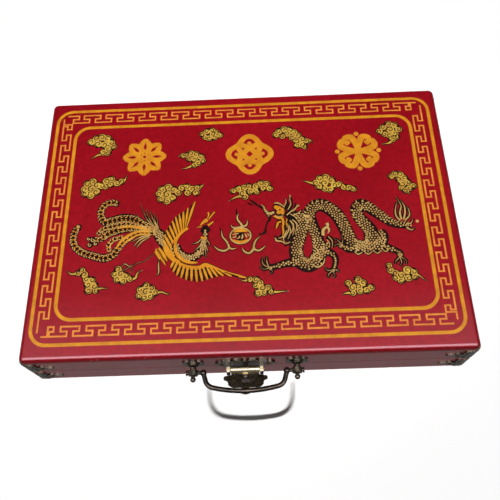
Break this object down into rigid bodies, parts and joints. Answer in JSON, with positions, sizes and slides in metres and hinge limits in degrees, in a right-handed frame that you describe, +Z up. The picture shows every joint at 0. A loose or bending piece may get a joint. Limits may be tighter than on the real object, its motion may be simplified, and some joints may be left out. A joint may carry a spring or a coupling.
{
  "type": "game tile case",
  "caption": "Flat red lacquered wooden case for game tiles, with a back-hinged lid, gold painted top, bronze bail handle, flap hasp, corner brackets and lift-out trays.",
  "frame": {"origin": "centre of the wooden case's flat underside", "axes": "+X along the front, +Y from the handle side to the hinge side, +Z up"},
  "size_m": [0.2432, 0.188, 0.0358],
  "materials": {
    "red_lacquered_wood": "glossy red lacquer over wood",
    "tray_wood": "satin clear varnish",
    "flocked_card": "short velvet flock",
    "antique_bronze": "darkened bronze, rubbed bright on the high spots",
    "aged_brass": "dull aged brass",
    "plated_steel": "dull nickel plate"
  },
  "bodies": {
    "base": {"base_back_rail": "red_lacquered_wood", "base_bottom_panel": "red_lacquered_wood", "base_front_rail": "red_lacquered_wood", "base_left_rail": "red_lacquered_wood", "base_lining": "flocked_card", "base_right_rail": "red_lacquered_wood", "catch_nails": "aged_brass", "catch_plate": "antique_bronze", "corner_bracket_base_back_left": "antique_bronze", "corner_bracket_base_back_right": "antique_bronze", "corner_bracket_base_front_left": "antique_bronze", "corner_bracket_base_front_right": "antique_bronze", "corner_nails_base": "aged_brass", "hinge_base_leaf_left": "antique_bronze", "hinge_base_leaf_right": "antique_bronze", "hinge_base_nails": "aged_brass", "hinge_pin_left": "aged_brass", "hinge_pin_right": "aged_brass", "tile_tray_back_left": "tray_wood", "tile_tray_back_right": "tray_wood", "tile_tray_front_left": "tray_wood", "tile_tray_front_right": "tray_wood"},
    "lid": {"corner_bracket_lid_back_left": "antique_bronze", "corner_bracket_lid_back_right": "antique_bronze", "corner_bracket_lid_front_left": "antique_bronze", "corner_bracket_lid_front_right": "antique_bronze", "corner_nails_lid": "aged_brass", "handle_nuts": "plated_steel", "handle_post_left": "antique_bronze", "handle_post_right": "antique_bronze", "handle_rosette_left": "antique_bronze", "handle_rosette_right": "antique_bronze", "hasp_nails": "aged_brass", "hasp_pin": "aged_brass", "hasp_plate": "antique_bronze", "hinge_lid_leaf_left": "antique_bronze", "hinge_lid_leaf_right": "antique_bronze", "hinge_lid_nails": "aged_brass", "lid_back_rail": "red_lacquered_wood", "lid_front_rail": "red_lacquered_wood", "lid_left_rail": "red_lacquered_wood", "lid_lining": "flocked_card", "lid_right_rail": "red_lacquered_wood", "lid_top_panel": "red_lacquered_wood"},
    "flap": {"hasp_flap": "antique_bronze", "hasp_stud": "antique_bronze"},
    "bail": {"bail": "antique_bronze"}
  },
  "joints": [
    {"name": "lid_hinge", "type": "hinge", "parent": "base", "child": "lid", "pos_m": [0, 0.0854, 0.0179], "axis": [-1, 0, 0], "range_deg": [0, 180]},
    {"name": "flap_hinge", "type": "hinge", "parent": "lid", "child": "flap", "pos_m": [-0.002, -0.0873, 0.0229], "axis": [1, 0, 0], "range_deg": [-15, 45]},
    {"name": "bail_hinge", "type": "hinge", "parent": "lid", "child": "bail", "pos_m": [-0.002, -0.089, 0.025], "axis": [-1, 0, 0], "range_deg": [-25, 105]}
  ]
}
